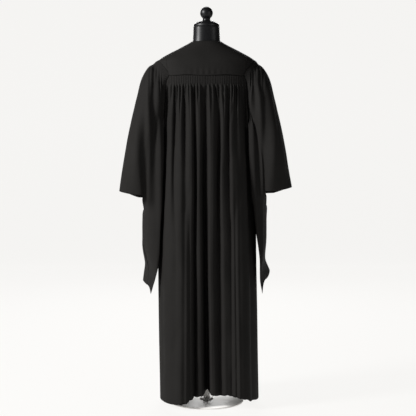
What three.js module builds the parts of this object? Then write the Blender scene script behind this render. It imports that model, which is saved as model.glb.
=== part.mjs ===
// A graduation gown on a limbless dress form, in millimetres, +Z up.
// The wearer's front faces -Y and the wearer's left is +X. The origin is on the floor,
// under the middle of the whole object.
//
// The gown is a yoke over the shoulders, one back panel gathered into a narrow band under
// the yoke, two plain fronts that hang open, and two sleeves. Each sleeve is a bell with an
// opening at the elbow, and behind the opening it goes on down as a long closed tail.
// Each piece is a cloth wall of one thickness, made from a grid of points on its middle.

import * as THREE from 'three';

// ---- Driving dimensions ----------------------------------------------------------------

const CLOTH = 2;             // thickness of each cloth wall
const SEAM_GAP = 0.5;        // air between two pieces that are sewn together
const AXIS_X = -3.5;         // the form's upright axis, off the middle of the object's box
const AXIS_Y = -12.7;        // and set forward of it
const YOKE_SEAM_Z = 1228;    // height of the seam between the yoke and the back panel
const NECKLINE_Z = 1357;     // height of the neck edge
const UNDERARM_Z = 1034;     // lowest point of the armhole

const CAP_R = 48;            // radius of the form's wooden neck cap
const CAP_Z = 1413;          // underside of the cap
const CAP_RIM = 10;          // height of its upright rim
const CAP_DOME = 14;         // rise of its domed top
const DOME_FLATNESS = 3.2;   // 2 is a round dome, and more is flatter on top
const BALL_R = 23.9;         // radius of the ball on the cap
const BALL_Z = 1465.5;       // height of the ball's centre
const STEM_R = 14;           // radius of the short stem under the ball

const POLE_R = 12.5;         // radius of the stand's pole
const BASE_R = 140;          // radius of the stand's round base
const BASE_H = 6;            // thickness of the base at its edge
const FORM_FOOT_Z = 716;     // underside of the torso
const PART_GAP = 0.3;        // air between two hard pieces that meet

// The gown's outline at the crest of its folds. Each row is one level: half its width, how
// far its back and front stand off the form's axis, and how far it leans towards +X.
const GOWN_LEVELS = [
  { z: 1357, wide: 55.5, back: 55, front: 55, lean: 0 },
  { z: 1351, wide: 65, back: 59, front: 58, lean: 0 },
  { z: 1333, wide: 99, back: 69, front: 66, lean: 0 },
  { z: 1314, wide: 136, back: 81, front: 77, lean: 0 },
  { z: 1296, wide: 168, back: 92, front: 87, lean: 0 },
  { z: 1284, wide: 181, back: 98, front: 93, lean: 0 },
  { z: 1262, wide: 186, back: 105, front: 101, lean: 0 },
  { z: 1228, wide: 187, back: 113, front: 110, lean: 0 },
  { z: 1190, wide: 187, back: 119, front: 118, lean: 0 },
  { z: 1100, wide: 186, back: 132, front: 127, lean: 0 },
  { z: 960, wide: 184, back: 146, front: 133, lean: -1 },
  { z: 800, wide: 184, back: 157, front: 137, lean: -2 },
  { z: 600, wide: 184.6, back: 167, front: 142, lean: -2.5 },
  { z: 300, wide: 186.3, back: 177, front: 148, lean: -6 },
  { z: 20, wide: 186.6, back: 186, front: 155, lean: -11 },
];

// The armhole, the same on both sides of the body: how far round it is from the point of the
// shoulder, its height, and how far out it lies on the back and on the front.
const ARMHOLE = [
  { turn: 0, z: 1291, xBack: 182, xFront: 182 },
  { turn: 28, z: 1264, xBack: 158, xFront: 167 },
  { turn: 55, z: 1229, xBack: 137, xFront: 154 },
  { turn: 72, z: 1204, xBack: 147, xFront: 149 },
  { turn: 115, z: 1120, xBack: 152, xFront: 147 },
  { turn: 150, z: 1060, xBack: 156, xFront: 153 },
  { turn: 168, z: 1040, xBack: 171, xFront: 171 },
  { turn: 180, z: UNDERARM_Z, xBack: 186, xFront: 186 },
];
const YOKE_CORNER_TURN = 55; // where the yoke's bottom seam meets the armhole

// The fold lines of the back panel, from the wearer's left to right, between the two side
// seams. Each row follows one crest or one valley: how far across it lies at five levels,
// how deep it is behind the gown's outline there, and the height of the hem on it.
const FOLD_LEVELS = [1190, 1060, 850, 600, 20];
const BACK_FOLDS = [
  { at: [146, 152, 165, 168, 163], deep: [3, 9, 13, 7, 2], hem: 20 },
  { at: [126, 132, 136, 137, 140], deep: [0, 0, 0, 0, 0], hem: 20 },
  { at: [110, 113, 119, 112, 117], deep: [7, 14, 11, 3, 1], hem: 21 },
  { at: [96, 97, 101, 99, 102], deep: [0, 0, 0, 0, 0], hem: 23 },
  { at: [80, 79, 76, 77, 79], deep: [7, 15, 13, 9, 9], hem: 27 },
  { at: [62, 59, 57, 60, 61], deep: [0, 1, 6, 17, 24], hem: 38 },
  { at: [46, 41, 38, 42, 44], deep: [7, 18, 32, 46, 60], hem: 44 },
  { at: [30, 28, 27, 27, 24], deep: [0, 0, 6, 24, 44], hem: 49 },
  { at: [4, 7, 9, 4, -4], deep: [8, 20, 40, 66, 104], hem: 64 },
  { at: [-12, -18, -20, -17, -26], deep: [0, 0, 5, 20, 38], hem: 54 },
  { at: [-34, -46, -43, -42, -51], deep: [7, 17, 30, 42, 54], hem: 52 },
  { at: [-62, -64, -60, -70, -78], deep: [0, 0, 6, 20, 32], hem: 56 },
  { at: [-78, -76, -79, -90, -93], deep: [7, 14, 16, 22, 30], hem: 52 },
  { at: [-98, -94, -101, -104, -112], deep: [0, 0, 0, 6, 12], hem: 49 },
  { at: [-108, -108, -118, -119, -127], deep: [6, 4, -1, -3, -6], hem: 46 },
  { at: [-118, -121, -134, -136, -146], deep: [0, 0, -2, -7, -10], hem: 41 },
  { at: [-134, -146, -158, -166, -172], deep: [4, 15, 18, 12, 5], hem: 28 },
];
const SIDE_HEM_Z = 20;       // height of the hem at the side seams

// The folds of each front, from its open edge to the side seam, as angles from the side seam
// towards the middle of the front, with their depth at the chest and at the hem.
const FRONT_FOLDS = [
  { turn: 62, chest: 0, hem: 0 },
  { turn: 53, chest: 3, hem: 16 },
  { turn: 45, chest: 0, hem: 1 },
  { turn: 35, chest: 4, hem: 24 },
  { turn: 26, chest: 0, hem: 0 },
  { turn: 17, chest: 3, hem: 15 },
  { turn: 8, chest: 0, hem: 1 },
  { turn: 0, chest: 0, hem: 8 },
];
const FRONT_HEM_Z = 34;      // height of the hem at the open front edges

// Rings down a sleeve's bell, below the armhole: the height and distance out of its outer
// edge and of its inner edge, how far its back and front stand off the form's axis, how far
// the middle of its back and front is drawn in towards the body, and the place of the fold
// that hangs from the back of the armhole over the back panel.
const BELL_RINGS = [
  { zOut: 1270, xOut: 208, zIn: 1026, xIn: 189, back: 97, front: 94, drawnIn: 34, foldX: 156, fold: 94 },
  { zOut: 1221, xOut: 239, zIn: 1006, xIn: 190, back: 108, front: 100, drawnIn: 26, foldX: 156, fold: 96 },
  { zOut: 1145, xOut: 260, zIn: 972, xIn: 190, back: 112, front: 103, drawnIn: 14, foldX: 157, fold: 98 },
  { zOut: 1045, xOut: 283, zIn: 925, xIn: 191, back: 111, front: 103, drawnIn: 4, foldX: 158, fold: 98 },
  { zOut: 950, xOut: 302, zIn: 875, xIn: 192, back: 107, front: 99, drawnIn: 0, foldX: 160, fold: 98 },
  { zOut: 865, xOut: 317, zIn: 825, xIn: 193, back: 101, front: 93, drawnIn: 0, foldX: 162, fold: 97 },
];
const CUFF_RING = { xOut: 326, xIn: 193, back: 96, front: 88, drawnIn: 0, foldX: 163, fold: 96 };

// What differs between the two sleeves: how much further out the bell's outer edge lies, the
// cuff's height at the outer edge, behind and in front, and the tail, with the turns of the bell
// between which it begins. The tail is a flat tube: each of its rings has the places of its back and front edge, and how far out its outer
// and its inner layer lie. Its sewn end is a crescent, lowest at the back edge.
const SLEEVES = {
  sleeve_left: {
    side: 1,
    spread: 1.5,
    tailTurns: [106, 254],
    cuff: { out: 801, back: 789, front: 772 },
    tail: [
      { z: 720, xBack: 166, back: 95, xFront: 214, front: 88, xOut: 234, xIn: 190 },
      { z: 620, xBack: 173, back: 92, xFront: 217, front: 80, xOut: 236, xIn: 190 },
      { z: 540, xBack: 178, back: 87, xFront: 228, front: 70, xOut: 239, xIn: 192 },
      { z: 480, xBack: 190, back: 81, xFront: 241, front: 62, xOut: 232, xIn: 200 },
      { z: 420, xBack: 207, back: 77, xFront: 248, front: 58, xOut: 226, xIn: 214 },
    ],
    end: { back: 420, middle: 446, front: 456 },
  },
  sleeve_right: {
    side: -1,
    spread: -5.5,
    tailTurns: [120, 240],
    cuff: { out: 816, back: 806, front: 790 },
    tail: [
      { z: 720, xBack: 175, back: 95, xFront: 208, front: 88, xOut: 223, xIn: 190 },
      { z: 620, xBack: 190, back: 92, xFront: 211, front: 80, xOut: 225, xIn: 197 },
      { z: 540, xBack: 199, back: 86, xFront: 224, front: 70, xOut: 227, xIn: 205 },
      { z: 480, xBack: 199, back: 80, xFront: 246, front: 62, xOut: 228, xIn: 208 },
      { z: 420, xBack: 208, back: 76, xFront: 250, front: 58, xOut: 226, xIn: 214 },
    ],
    end: { back: 422, middle: 468, front: 495 },
  },
};
const END_GAP = 2.6;         // half the width between the tail's layers where they are sewn
const FOLD_WIDTH = 17;       // turn over which the fold at the armhole's back spreads
const BODY_GAP = 5;          // least distance from the sleeves to the body's outline
const TAIL_CLEAR = 4;        // gap between the two edges that the tail's outer seam joins

// The folds of a sleeve, as turns round the bell from its outer edge over the back: the
// depth of each valley half way down the bell. The folds run on down the tail.
const SLEEVE_FOLDS = [
  { turn: 70, deep: 7, width: 11 },
  { turn: 101, deep: 6, width: 10 },
  { turn: 124, deep: 11, width: 10 },
  { turn: 150, deep: 9, width: 11 },
  { turn: 212, deep: 8, width: 12 },
  { turn: 244, deep: 9, width: 12 },
  { turn: 286, deep: 7, width: 12 },
];

// The form's torso and neck under the gown, smooth all round. Columns as for the gown.
const TORSO_LEVELS = [
  { z: 1412.5, wide: 49, back: 49, front: 49 },
  { z: 1380, wide: 50, back: 50, front: 50 },
  { z: 1360, wide: 51.5, back: 51, front: 51 },
  { z: 1346, wide: 59, back: 54, front: 53 },
  { z: 1326, wide: 98, back: 65, front: 62 },
  { z: 1307, wide: 134, back: 76, front: 73 },
  { z: 1288, wide: 160, back: 87, front: 82 },
  { z: 1268, wide: 168, back: 94, front: 89 },
  { z: 1228, wide: 169, back: 103, front: 99 },
  { z: 1160, wide: 164, back: 108, front: 108 },
  { z: 1060, wide: 150, back: 106, front: 108 },
  { z: 950, wide: 130, back: 94, front: 94 },
  { z: 860, wide: 146, back: 100, front: 98 },
  { z: 780, wide: 158, back: 106, front: 104 },
  { z: 735, wide: 156, back: 104, front: 102 },
  { z: FORM_FOOT_Z, wide: 142, back: 92, front: 90 },
];

// ---- Curves ----------------------------------------------------------------------------

const mix = (a, b, t) => a + (b - a) * t;
const degrees = (d) => (d * Math.PI) / 180;
const ease = (t) => 0.5 - 0.5 * Math.cos(Math.PI * Math.min(1, Math.max(0, t)));

// A smooth curve through the points (xs, ys), with xs rising, that never overshoots them.
function curve(xs, ys) {
  const slope = xs.map(() => 0);
  const rise = (i) => (ys[i + 1] - ys[i]) / (xs[i + 1] - xs[i]);
  for (let i = 1; i < xs.length - 1; i += 1) {
    const before = rise(i - 1);
    const after = rise(i);
    slope[i] = before * after > 0 ? (2 * before * after) / (before + after) : 0;
  }
  slope[0] = rise(0);
  slope[xs.length - 1] = rise(xs.length - 2);
  return (x) => {
    const held = Math.min(xs[xs.length - 1], Math.max(xs[0], x));
    let i = 0;
    while (i < xs.length - 2 && held > xs[i + 1]) i += 1;
    const step = xs[i + 1] - xs[i];
    const t = (held - xs[i]) / step;
    const t2 = t * t;
    const t3 = t2 * t;
    return (2 * t3 - 3 * t2 + 1) * ys[i] + (t3 - 2 * t2 + t) * step * slope[i]
      + (3 * t2 - 2 * t3) * ys[i + 1] + (t3 - t2) * step * slope[i + 1];
  };
}

// One column of a table as a smooth function of another column.
function column(rows, key, over) {
  const sorted = [...rows].sort((a, b) => a[over] - b[over]);
  return curve(sorted.map((row) => row[over]), sorted.map((row) => row[key]));
}

// A closed outline: turn 0 is the back, 90 is +X, 180 is the front and -90 is -X.
const ROUNDNESS = 2.45;      // 2 is an ellipse, and more is squarer
const rounded = (value) => Math.sign(value) * Math.abs(value) ** (2 / ROUNDNESS);

function outline(rows) {
  const keys = ['wide', 'back', 'front', 'lean'];
  const at = Object.fromEntries(keys.map((key) => [
    key,
    key in rows[0] ? column(rows, key, 'z') : () => 0,
  ]));
  return {
    at,
    point(turn, z, inset = 0) {
      const across = rounded(Math.sin(degrees(turn)));
      const along = rounded(Math.cos(degrees(turn)));
      const depth = (along > 0 ? at.back(z) : at.front(z)) * along;
      const sideways = Math.sin(degrees(turn)) ** 5;
      const inwards = Math.cos(degrees(turn));
      const length = Math.hypot(sideways, inwards);
      return new THREE.Vector3(
        at.lean(z) + at.wide(z) * across - (inset * sideways) / length,
        AXIS_Y + depth - (inset * inwards) / length,
        z,
      );
    },
    turnAt(x, z) {
      const share = Math.min(1, Math.abs(x - at.lean(z)) / at.wide(z));
      const turn = (Math.asin(share ** (ROUNDNESS / 2)) * 180) / Math.PI;
      return Math.sign(x - at.lean(z)) * turn;
    },
  };
}

const gown = outline(GOWN_LEVELS);
const torso = outline(TORSO_LEVELS);
const armholeZ = column(ARMHOLE, 'z', 'turn');
const armholeBackX = column(ARMHOLE, 'xBack', 'z');
const armholeFrontX = column(ARMHOLE, 'xFront', 'z');

// ---- Cloth walls -----------------------------------------------------------------------

// A closed wall round a grid of points on its middle. grid[row][i] is a point, or null where
// there is no cloth; a ring grid joins its last column to its first.
function clothWall(grid, isRing = false) {
  const rows = grid.length;
  const columns = grid[0].length;
  const wrap = (i) => (i + columns) % columns;
  const cloth = (r, i) => (r >= 0 && r < rows && (isRing || (i >= 0 && i < columns))
    ? grid[r][wrap(i)] : null);
  const positions = [];
  const places = new Map();
  grid.forEach((line, r) => line.forEach((point, i) => {
    if (!point) return;
    const across = new THREE.Vector3().subVectors(cloth(r, i + 1) ?? point, cloth(r, i - 1) ?? point);
    const down = new THREE.Vector3().subVectors(cloth(r + 1, i) ?? point, cloth(r - 1, i) ?? point);
    const normal = across.cross(down).normalize();
    places.set(`${r},${i}`, positions.length / 3);
    [1, -1].forEach((face) => {
      positions.push(...point.clone().addScaledVector(normal, (face * CLOTH) / 2).toArray());
    });
  }));
  const place = (r, i, face) => places.get(`${r},${wrap(i)}`) + face;
  const hasPatch = (r, i) => [[r, i], [r + 1, i], [r, i + 1], [r + 1, i + 1]]
    .every(([a, b]) => cloth(a, b));
  const faces = [];
  const four = (a, b, c, d) => faces.push(a, b, c, a, c, d);
  for (let r = 0; r < rows - 1; r += 1) {
    for (let i = 0; i < (isRing ? columns : columns - 1); i += 1) {
      if (!hasPatch(r, i)) continue;
      const corners = [[r, i], [r, i + 1], [r + 1, i + 1], [r + 1, i]];
      four(...corners.map(([a, b]) => place(a, b, 0)));
      four(...corners.map(([a, b]) => place(a, b, 1)).reverse());
      const beyond = [[r - 1, i], [r, i + 1], [r + 1, i], [r, i - 1]];
      corners.forEach(([a, b], side) => {
        if (hasPatch(...beyond[side])) return;
        const [c, d] = corners[(side + 1) % 4];
        four(place(a, b, 0), place(a, b, 1), place(c, d, 1), place(c, d, 0));
      });
    }
  }
  return closedGeometry(positions, faces);
}

// A geometry with its faces turned outwards.
function closedGeometry(positions, faces) {
  const corner = (k) => new THREE.Vector3().fromArray(positions, faces[k] * 3);
  let volume = 0;
  for (let k = 0; k < faces.length; k += 3) {
    volume += corner(k).dot(corner(k + 1).cross(corner(k + 2)));
  }
  if (volume < 0) faces.reverse();
  const geometry = new THREE.BufferGeometry();
  geometry.setAttribute('position', new THREE.Float32BufferAttribute(positions, 3));
  geometry.setIndex(faces);
  geometry.computeVertexNormals();
  return geometry;
}

// Even steps from a to b, both included.
const steps = (a, b, count) => Array.from({ length: count + 1 }, (_, i) => mix(a, b, i / count));

// ---- The gown's body -------------------------------------------------------------------

// The yoke's lower edge at share c of the way across, from -1 to 1: along the bottom seam in
// the middle, and up the armhole to the point of the shoulder at each end.
const YOKE_SEAM_SHARE = 0.7;
const yokeCornerX = armholeBackX(YOKE_SEAM_Z);

const SEAM_TURN = 0.1;       // turn that leaves the seam gap at the shoulder and side seams
const SHOULDER_TURN = 90 - SEAM_TURN;

function yokeEdge(c) {
  const share = Math.abs(c);
  if (share <= YOKE_SEAM_SHARE) {
    const x = (c / YOKE_SEAM_SHARE) * (yokeCornerX - SEAM_GAP);
    return { turn: gown.turnAt(x, YOKE_SEAM_Z), z: YOKE_SEAM_Z + SEAM_GAP };
  }
  const up = (share - YOKE_SEAM_SHARE) / (1 - YOKE_SEAM_SHARE);
  const z = armholeZ(YOKE_CORNER_TURN * (1 - up));
  const x = Math.sign(c) * (armholeBackX(z) - 2 * SEAM_GAP);
  return { turn: gown.turnAt(x, z), z: Math.max(z, YOKE_SEAM_Z + SEAM_GAP) };
}

function yokeGrid() {
  const across = [
    ...steps(-1, -YOKE_SEAM_SHARE, 4),
    ...steps(-YOKE_SEAM_SHARE, YOKE_SEAM_SHARE, 12).slice(1, -1),
    ...steps(YOKE_SEAM_SHARE, 1, 4),
  ];
  return steps(0, 1, 7).map((down) => across.map((c) => {
    const edge = yokeEdge(c);
    const shoulderTurn = SHOULDER_TURN * Math.sign(c) * Math.abs(c) ** 0.9;
    const turn = mix(shoulderTurn, Math.min(SHOULDER_TURN, Math.max(-SHOULDER_TURN, edge.turn)), down ** 0.8);
    return gown.point(turn, mix(NECKLINE_Z, edge.z, down));
  }));
}

// The outer edge of the back panel at a height: the armhole, and the side seam below it.
const LOWEST_Z = GOWN_LEVELS[GOWN_LEVELS.length - 1].z;

function panelEdgeTurn(z, armholeX) {
  if (z <= UNDERARM_Z) return 90 - SEAM_TURN;
  return Math.min(90 - SEAM_TURN, gown.turnAt(armholeX(z) - 3 * SEAM_GAP, z));
}

const levelsUp = [...FOLD_LEVELS].reverse();
const foldLines = BACK_FOLDS.map(({ at, deep, hem }) => ({
  across: curve(levelsUp, [...at].reverse()),
  depth: curve([...levelsUp, YOKE_SEAM_Z], [...[...deep].reverse(), 0]),
  hem,
}));
const edgeLine = (side) => ({
  turn: (z) => side * panelEdgeTurn(z, armholeBackX),
  depth: () => 0,
  hem: SIDE_HEM_Z,
});
const backLines = [edgeLine(1), ...foldLines, edgeLine(-1)];

// A point of the back panel, s lines from its left edge, at share down of its length.
function backPoint(s, down) {
  const k = Math.min(backLines.length - 2, Math.floor(s));
  const share = s - k;
  const lines = [backLines[k], backLines[k + 1]];
  const hem = mix(lines[0].hem, lines[1].hem, ease(share));
  const z = mix(YOKE_SEAM_Z - SEAM_GAP, hem, down);
  const limit = panelEdgeTurn(z, armholeBackX);
  const turns = lines.map((line) => (line.turn ? line.turn(z)
    : Math.min(limit - 2, Math.max(2 - limit, gown.turnAt(line.across(z), z)))));
  const depth = mix(lines[0].depth(z), lines[1].depth(z), ease(share));
  return gown.point(mix(turns[0], turns[1], share), z, depth);
}

const BACK_ROWS = [0, 0.032, 0.09, 0.14, 0.161, 0.19, 0.25, 0.34, 0.45, 0.58, 0.72, 0.86, 1];

function backGrid() {
  const across = steps(0, backLines.length - 1, 3 * (backLines.length - 1));
  return BACK_ROWS.map((down) => across.map((s) => backPoint(s, down)));
}

// A front hangs from the shoulder seam. Its open edge falls from the side of the neck, and
// its other edge follows the armhole and then the side seam.
const FRONT_EDGE = [
  { z: 1355, turn: 80 },
  { z: 1296, turn: 66 },
  { z: 1200, turn: 63 },
  { z: 20, turn: 62 },
];
const frontEdgeTurn = column(FRONT_EDGE, 'turn', 'z');
const frontLine = {
  turn: (s) => curve(FRONT_FOLDS.map((_, i) => i), FRONT_FOLDS.map((fold) => fold.turn))(s),
  depth(s, z) {
    const k = Math.min(FRONT_FOLDS.length - 2, Math.floor(s));
    const share = ease(s - k);
    const chest = mix(FRONT_FOLDS[k].chest, FRONT_FOLDS[k + 1].chest, share);
    const hem = mix(FRONT_FOLDS[k].hem, FRONT_FOLDS[k + 1].hem, share);
    const lower = Math.min(1, Math.max(0, (1100 - z) / (1100 - LOWEST_Z)));
    const fade = ease((1280 - z) / 120);
    return fade * mix(chest, hem, lower);
  },
};

function frontPoint(side, s, down) {
  const last = FRONT_FOLDS.length - 1;
  const share = s / last;
  const top = mix(1355, armholeZ(0) + 1, share);
  const bottom = mix(FRONT_HEM_Z, SIDE_HEM_Z, share);
  const z = mix(top, bottom, down);
  const edge = Math.min(90 - SEAM_TURN, panelEdgeTurn(z, armholeFrontX));
  const seam = 90 - edge;
  const open = frontEdgeTurn(z);
  const first = FRONT_FOLDS[0].turn;
  const inwards = seam + (frontLine.turn(s) / first) * (open - seam);
  const offShoulder = Math.max(ease(down / 0.05), share ** 3);
  const turn = 90 + mix(SEAM_TURN, inwards, offShoulder);
  return gown.point(side * turn, z, frontLine.depth(s, z));
}

const FRONT_ROWS = [0, 0.015, 0.03, 0.05, 0.09, 0.14, 0.19, 0.232, 0.27, 0.38, 0.52, 0.68, 0.84, 1];

function frontGrid(side) {
  const last = FRONT_FOLDS.length - 1;
  return FRONT_ROWS.map((down) => steps(0, last, 2 * last).map((s) => frontPoint(side, s, down)));
}

// ---- The sleeves -----------------------------------------------------------------------

// One ring of the bell: turn 0 is its outer edge, 90 the back, 180 the inner edge, 270 the
// front.
const foldTurn = ({ tailTurns: [from, to] }) => mix(from, to, 0.25);

function plainRingPoint(ring, turn) {
  const out = Math.cos(degrees(turn));
  const back = Math.sin(degrees(turn));
  const middle = (ring.xOut + ring.xIn) / 2;
  const half = (ring.xOut - ring.xIn) / 2;
  const depth = back > 0 ? ring.back : ring.front;
  return new THREE.Vector3(
    middle + half * rounded(out) - ring.drawnIn * back * back,
    AXIS_Y + depth * rounded(back),
    mix(ring.zIn ?? 0, ring.zOut ?? 0, (1 + out) / 2),
  );
}

function bellRingPoint(sleeve, ring, turn) {
  const spreadRing = { ...ring, xOut: ring.xOut + sleeve.spread };
  const point = plainRingPoint(spreadRing, turn);
  const corner = plainRingPoint(spreadRing, foldTurn(sleeve));
  const near = Math.exp(-(((turn - foldTurn(sleeve)) / FOLD_WIDTH) ** 2));
  point.x += near * (ring.foldX - corner.x);
  point.y += near * (AXIS_Y + ring.fold - corner.y);
  return point;
}

// A sleeve's point, pushed out of the body's outline until it is a gap clear of it.
function clearOfBody(point, gap, side) {
  const { at } = gown;
  const x = side * point.x - at.lean(point.z);
  const y = point.y - AXIS_Y;
  const depth = (y > 0 ? at.back : at.front)(point.z);
  const power = (Math.abs(x) / at.wide(point.z)) ** ROUNDNESS + (Math.abs(y) / depth) ** ROUNDNESS;
  const size = power ** (1 / ROUNDNESS);
  const scale = Math.max(1, (1 + (gap * size) / Math.hypot(x, y)) / size);
  point.x = side * (x * scale + at.lean(point.z));
  point.y = AXIS_Y + y * scale;
  return point;
}

// The armhole as the sleeve's first ring, just outside the body's own edge.
function armholePoint(turn) {
  const isBack = turn <= 180;
  const z = armholeZ(isBack ? turn : 360 - turn);
  const x = (isBack ? armholeBackX : armholeFrontX)(z);
  const bodyTurn = gown.turnAt(x, z);
  const point = gown.point(isBack ? bodyTurn : 180 - bodyTurn, z);
  const under = Math.max(0, -Math.cos(degrees(turn)));
  return point.add(new THREE.Vector3(mix(isBack ? 2.4 : 5.5, 4, under), 0, -2.5 * under));
}

function cuffRing(sleeve) {
  const { cuff } = sleeve;
  return (turn) => {
    const point = bellRingPoint(sleeve, CUFF_RING, turn);
    const across = Math.cos(degrees(turn));
    const low = Math.sin(degrees(turn)) > 0 ? cuff.back : cuff.front;
    point.z = mix(low, cuff.out, Math.max(0, across));
    return point;
  };
}

function foldDepth(turn) {
  return SLEEVE_FOLDS.reduce((sum, fold) => {
    const off = (turn - fold.turn) / fold.width;
    return sum + fold.deep * Math.exp(-off * off);
  }, 0);
}

// A point of the bell at a turn, at share down of the way from the armhole to the cuff.
function bellPoint(sleeve, turn, down) {
  const rings = [
    armholePoint(turn),
    ...BELL_RINGS.map((ring) => bellRingPoint(sleeve, ring, turn)),
    cuffRing(sleeve)(turn),
  ];
  const places = rings.map((_, i) => i);
  const at = down * (rings.length - 1);
  const point = new THREE.Vector3(...['x', 'y', 'z'].map((axis) => (
    curve(places, rings.map((ring) => ring[axis]))(at))));
  const inset = foldDepth(turn) * ease(down / 0.45);
  const back = Math.sin(degrees(turn));
  point.x -= inset * Math.cos(degrees(turn)) * Math.abs(Math.cos(degrees(turn)));
  point.y -= inset * back;
  return down > 0.03 ? clearOfBody(point, mix(2.5, BODY_GAP, ease(down / 0.3)), sleeve.side) : point;
}

// A point of the tail, at share round of the way from the outer seam over the back edge, the
// inner side and the front edge to the seam again, and share down of the way from the cuff.
function tailPoint(sleeve, round, down) {
  const turn = mix(...sleeve.tailTurns, round);
  const start = bellPoint(sleeve, turn, 1);
  const out = Math.cos(degrees(360 * round));
  const back = Math.sin(degrees(360 * round));
  const corner = back > 0 ? sleeve.end.back : sleeve.end.front;
  const z = mix(start.z, mix(sleeve.end.middle, corner, Math.abs(back) ** 1.5), down);
  const ring = Object.fromEntries(['xBack', 'back', 'xFront', 'front', 'xOut', 'xIn'].map((key) => [
    key,
    column(sleeve.tail, key, 'z')(z),
  ]));
  const sewn = ease((down - 0.5) / 0.5);
  const inset = (1 - sewn) * 0.6 * foldDepth(turn);
  const middle = (ring.xFront + ring.xBack) / 2;
  const layer = (out > 0 ? ring.xOut : ring.xIn) - middle;
  const swell = mix(layer, Math.sign(out) * END_GAP, sewn) * Math.abs(rounded(out));
  const seam = TAIL_CLEAR * 0.5 * Math.sign(0.5 - round) * ease((Math.abs(round - 0.5) - 0.42) / 0.08);
  const along = (1 + rounded(back)) / 2;
  const hung = new THREE.Vector3(
    mix(ring.xFront, ring.xBack, along) + swell,
    AXIS_Y + mix(-ring.front, ring.back, along) - inset * back + seam,
    z,
  );
  clearOfBody(hung, BODY_GAP, sleeve.side);
  return start.lerp(hung, ease(down / 0.2)).setZ(z);
}

const BELL_ROWS = 11;
const TAIL_ROWS = 7;
const TAIL_COLUMNS = 20;
const OUTER_COLUMNS = 12;

function sleeveGrid(sleeve) {
  const tailShares = steps(0, 1, TAIL_COLUMNS);
  const tailTurns = tailShares.map((share) => mix(...sleeve.tailTurns, share));
  const [from, to] = sleeve.tailTurns;
  const outerTurns = steps(to, from + 360, OUTER_COLUMNS).slice(1, -1);
  const turns = [...tailTurns, ...outerTurns.map((turn) => turn % 360)];
  const mirror = (point) => {
    point.x *= sleeve.side;
    return point;
  };
  const bell = steps(0, 1, BELL_ROWS).map((down) => (
    turns.map((turn) => mirror(bellPoint(sleeve, turn, down)))));
  const tail = steps(0, 1, TAIL_ROWS).slice(1).map((down) => turns.map((_, i) => (
    i < tailShares.length ? mirror(tailPoint(sleeve, tailShares[i], down)) : null)));
  return [...bell, ...tail];
}

// ---- The form and its stand ------------------------------------------------------------

// A closed solid through the torso's levels, with flat ends.
function torsoGeometry() {
  const SIDES = 28;
  const levels = [...steps(FORM_FOOT_Z, 1240, 8), ...steps(1262, 1350, 5), 1360, 1380, 1412.5];
  const turns = steps(-180, 180, SIDES).slice(0, -1);
  const positions = [];
  levels.forEach((z) => turns.forEach((turn) => positions.push(...torso.point(turn, z).toArray())));
  const faces = [];
  const place = (level, i) => level * SIDES + (i % SIDES);
  for (let level = 0; level < levels.length - 1; level += 1) {
    for (let i = 0; i < SIDES; i += 1) {
      const [a, b] = [place(level, i), place(level, i + 1)];
      const [c, d] = [place(level + 1, i + 1), place(level + 1, i)];
      faces.push(a, b, c, a, c, d);
    }
  }
  [0, levels.length - 1].forEach((level) => {
    const centre = positions.length / 3;
    positions.push(0, AXIS_Y, levels[level]);
    for (let i = 0; i < SIDES; i += 1) {
      const [a, b] = [place(level, i), place(level, i + 1)];
      faces.push(...(level ? [a, b, centre] : [b, a, centre]));
    }
  });
  return closedGeometry(positions, faces);
}

// A solid of revolution from an outline of [radius, height] that starts and ends on the axis.
function turned(profile) {
  const geometry = new THREE.LatheGeometry(profile.map(([r, z]) => new THREE.Vector2(r, z)), 32);
  geometry.rotateX(Math.PI / 2);
  geometry.translate(0, AXIS_Y, 0);
  return geometry;
}

const arc = (centreR, centreZ, radius, from, to, count) => steps(from, to, count).map((a) => [
  centreR + radius * Math.cos(degrees(a)),
  centreZ + radius * Math.sin(degrees(a)),
]);

const capTopZ = CAP_Z + CAP_RIM + CAP_DOME;

function capProfile() {
  const dome = steps(0, 1, 6).slice(1).map((t) => [
    (CAP_R - 1) * (1 - t),
    CAP_Z + CAP_RIM + CAP_DOME * (1 - (1 - t) ** DOME_FLATNESS),
  ]);
  return [[0, CAP_Z], [CAP_R - 1, CAP_Z], [CAP_R, CAP_Z + 1], [CAP_R, CAP_Z + CAP_RIM - 2],
    ...dome.slice(0, -1), [0, capTopZ]];
}

function ballProfile() {
  const bottom = capTopZ + PART_GAP;
  const foot = Math.asin(STEM_R / BALL_R);
  const start = -90 + (foot * 180) / Math.PI;
  return [[0, bottom], [STEM_R + 1, bottom], [STEM_R, bottom + 2],
    ...arc(0, BALL_Z, BALL_R, start, 84, 10), [0, BALL_Z + BALL_R]];
}

function baseProfile() {
  return [[0, 0], [BASE_R - 1, 0], [BASE_R, 1], [BASE_R, BASE_H - 2], [BASE_R - 2, BASE_H],
    [POLE_R + 14, BASE_H + 2], [POLE_R + 12, BASE_H + 10], [0, BASE_H + 10]];
}

const poleFoot = BASE_H + 10 + PART_GAP;
const poleHead = FORM_FOOT_Z - PART_GAP;
const poleProfile = [[0, poleFoot], [POLE_R, poleFoot], [POLE_R, poleHead], [0, poleHead]];

// ---- Assembly --------------------------------------------------------------------------

const finish = (color, roughness, metalness = 0) => new THREE.MeshStandardMaterial({
  color, roughness, metalness,
});
const clothFinish = () => finish(0x17171b, 0.78);
const lacquerFinish = () => finish(0x0c0c0e, 0.18);
const steelFinish = () => finish(0xe9e7e2, 0.5);

const object = new THREE.Group();

// Every piece is made with the form's axis at x 0, and moved here to where the axis is.
function add(name, geometry, material) {
  geometry.translate(AXIS_X, 0, 0);
  const mesh = new THREE.Mesh(geometry, material);
  mesh.name = name;
  object.add(mesh);
}

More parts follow.
